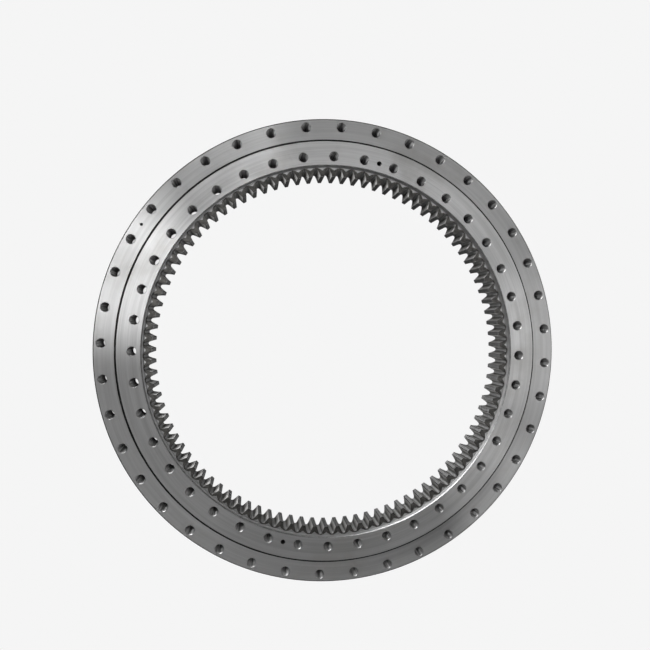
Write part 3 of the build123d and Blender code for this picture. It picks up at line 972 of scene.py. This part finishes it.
def dress_cad_nodes():
    """Materials of the CAD nodes that stay in sight or inside the bearing."""
    looks = {
        "ball_set": ball_steel("ball_steel_fine"),
        "spacer_set": spacer_nylon("spacer_nylon_fine"),
        "grease_nipple": nipple_brass("nipple_brass_fine"),
        "filler_plug": plain_steel("plug_steel_fine", 0.58, 0.46),
        # The taper pin is painted near black: painted shade in its hole
        "plug_taper_pin": plain_steel("pin_shade_painted_fine", 0.03, 0.02),
    }
    for name in frame["nodes"]:
        for start, material in looks.items():
            if name.startswith(start):
                dress_node(name, material)


# Studio ------------------------------------------------------------------------------------

# Camera, nearly on the bearing axis and a little to the left of it
CAMERA_PLACE = Vector((-0.2158, 0.0734, 1.6304))
CAMERA_TILT = Vector((-0.03321, -0.09059, 0.0))
LENS_MM = 32.28
SENSOR_MM = 36.0
SHIFT = (0.0345, 0.0310)

# Floor and backdrop that the camera sees, and the shade on that floor under the bearing
STAGE_SIZE = 16.0
STAGE_GAP = 0.1 * MM
PALE = 0.913
SHADE_UNDER = 0.5
SHADE_END = (RIM_RADIUS - 4 * RIM_CHAMFER, RIM_RADIUS - 2 * RIM_CHAMFER)

# Matt floor that the steel mirrors
FLOOR_INSIDE = 0.06
FLOOR_OUTSIDE = 0.85
FLOOR_EDGE = (RIM_RADIUS - 2 * RIM_CHAMFER, RIM_RADIUS)

# Light from all round, and soft round lamps
SKY_STRENGTH = 0.10
LAMP_DISTANCE = 3.0
LAMP_DIAMETER = 0.5

# Rows of lamps: azimuths of the first and the last lamp and elevation in degrees, count, watts of each
LAMP_ROWS = {
    "window": (175.0, 142.0, 58.0, 5, 4.2),
    "low_window": (144.0, 102.0, 22.0, 5, 7.0),
    "right_wall": (6.0, -6.0, 58.0, 2, 2.5),
    "front_right": (-30.0, -42.0, 40.0, 2, 1.5),
    "front_left": (-114.0, -162.0, 58.0, 5, 0.35),
    "ceiling": (90.0, 42.0, 74.0, 3, 1.6),
    "ceiling_right": (18.0, 18.0, 74.0, 1, 3.0),
}


def make_camera():
    """Camera from above with a small shift that puts the ring where it stands in the frame."""
    data = bpy.data.cameras.new("camera")
    data.lens = LENS_MM
    data.sensor_width = SENSOR_MM
    data.shift_x, data.shift_y = SHIFT
    camera = bpy.data.objects.new("camera", data)
    bpy.context.scene.collection.objects.link(camera)
    camera.location = CAMERA_PLACE
    camera.rotation_mode = "QUATERNION"
    camera.rotation_quaternion = Quaternion(CAMERA_TILT.normalized(), CAMERA_TILT.length)
    bpy.context.scene.camera = camera


def glow(shader, brightness):
    """Makes a stage surface shine by itself, so that it stays even."""
    shader.set(Base_Color=grey(0.0), Roughness=1.0, Specular_IOR_Level=0.0)
    shader.set(Emission_Color=grey(1.0), Emission_Strength=brightness)
    return shader.material


def backdrop_material():
    """Pale backdrop of one brightness."""
    return glow(Shader("backdrop_pale"), PALE)


def floor_material():
    """Shining floor with the bearing's own shade, which deepens from the bore to the outer bolt holes."""
    shader = Shader("floor_pale")
    radius, _, _ = about_axis(shader)
    from_bore = shader.between(radius, BORE_RADIUS, OUTER_BOLT_RADIUS)
    by_rim = shader.between(radius, *SHADE_END)
    under = shader.math("SUBTRACT", from_bore, by_rim)
    return glow(shader, shader.math("MULTIPLY_ADD", under, SHADE_UNDER - PALE, PALE))


def mirrored_floor():
    """Matt floor that the steel mirrors: pale round the bearing, in shade under and inside it."""
    shader = Shader("floor_matt")
    radius, _, _ = about_axis(shader)
    outside = shader.between(radius, *FLOOR_EDGE)
    colour = shader.mix(outside, grey(FLOOR_INSIDE), grey(FLOOR_OUTSIDE))
    shader.set(Base_Color=colour, Roughness=1.0, Specular_IOR_Level=0.0)
    return shader.material


def flat_square(name, half, height, material):
    """Level square of the stage."""
    mesh = bpy.data.meshes.new(name)
    corners = [(-half, -half, 0), (half, -half, 0), (half, half, 0), (-half, half, 0)]
    mesh.from_pydata(corners, [], [(0, 1, 2, 3)])
    square = new_object(name, mesh, [material])
    square.location.z = height
    return square


def shown_only(piece):
    """Leaves a piece of the stage to the camera alone, so that it throws no light on the bearing."""
    piece.visible_diffuse = False
    piece.visible_glossy = False
    piece.visible_transmission = False
    piece.visible_shadow = False


def make_stage():
    """Pale floor and backdrop for the camera, and a plain floor whose shade the steel mirrors."""
    half = STAGE_SIZE / 2
    ground = CAD_BOX[0].z - STAGE_GAP
    floor = flat_square("floor", half, ground, floor_material())
    shown_only(floor)
    under = flat_square("floor_lit", half, ground - STAGE_GAP, mirrored_floor())
    under.visible_camera = False
    dome = bmesh.new()
    bmesh.ops.create_icosphere(dome, subdivisions=4, radius=half)
    mesh = bpy.data.meshes.new("backdrop")
    dome.to_mesh(mesh)
    dome.free()
    backdrop = new_object("backdrop", mesh, [backdrop_material()])
    shown_only(backdrop)


def make_lamp(name, azimuth, elevation, watts):
    """Round soft lamp that looks at the bearing's centre."""
    data = bpy.data.lights.new(name, "AREA")
    data.shape = "DISK"
    data.size = LAMP_DIAMETER
    data.energy = watts
    lamp = bpy.data.objects.new(name, data)
    bpy.context.scene.collection.objects.link(lamp)
    turn, rise = math.radians(azimuth), math.radians(elevation)
    direction = polar(math.cos(rise), turn, math.sin(rise))
    lamp.location = direction * LAMP_DISTANCE
    lamp.rotation_mode = "QUATERNION"
    lamp.rotation_quaternion = direction.to_track_quat("Z", "Y")


def make_lamps():
    """Rows of soft lamps on arcs round the bearing."""
    for name, (first, last, elevation, count, watts) in LAMP_ROWS.items():
        for index in range(count):
            azimuth = first + (last - first) * index / max(count - 1, 1)
            make_lamp(f"{name}_{index + 1}", azimuth, elevation, watts)


def make_sky():
    """Weak even light from all round."""
    world = bpy.data.worlds.new("studio")
    world.use_nodes = True
    bpy.context.scene.world = world
    background = world.node_tree.nodes["Background"]
    background.inputs["Color"].default_value = grey(1.0)
    background.inputs["Strength"].default_value = SKY_STRENGTH


def make_studio():
    """Camera, stage and lights."""
    make_camera()
    make_stage()
    make_sky()
    make_lamps()
    bpy.context.scene.view_settings.view_transform = "Standard"


def make_bearing():
    """Fine pieces that stand for the turned CAD nodes, and materials of the others."""
    drilled = drilled_steel("drilled_steel_fine")
    edge = edge_steel("edge_steel_fine")
    shade_painted = shade_painted_steel("dark_edge_steel_fine")
    raceway = raceway_steel("raceway_steel_fine")
    # Edges along which painted shade darkens the faces; the inner face also gets painted shade on one side
    outer_edges = [(OUTER_BORE_RADIUS + GAP_CHAMFER, GAP_SHADE_REACH), (RIM_RADIUS - RIM_CHAMFER, RIM_SHADE_REACH)]
    inner_edges = [(WALL_RADIUS - GAP_CHAMFER, INNER_SHADE_REACH), (BORE_RADIUS + BORE_CHAMFER, INNER_SHADE_REACH)]
    outer_face = turned_steel("ring_steel_fine", grey(0.60), grey(0.52), outer_edges)
    inner_face = turned_steel("gear_ring_steel_fine", grey(0.78), grey(0.63), inner_edges, LIT_SIDE_AZIMUTH)
    space = tooth_space_steel("tooth_space_fine")
    tip = tip_steel("tooth_tip_fine")
    tooth_end = tooth_end_steel("tooth_end_fine")
    make_outer_ring([outer_face, drilled, edge, shade_painted, raceway])
    bore = bore_steel("bore_steel_fine")
    make_inner_ring([inner_face, drilled, edge, shade_painted, raceway, space, tip, tooth_end, bore])
    make_seals(seal_rubber("seal_rubber_fine"))
    dress_cad_nodes()


make_studio()
make_bearing()
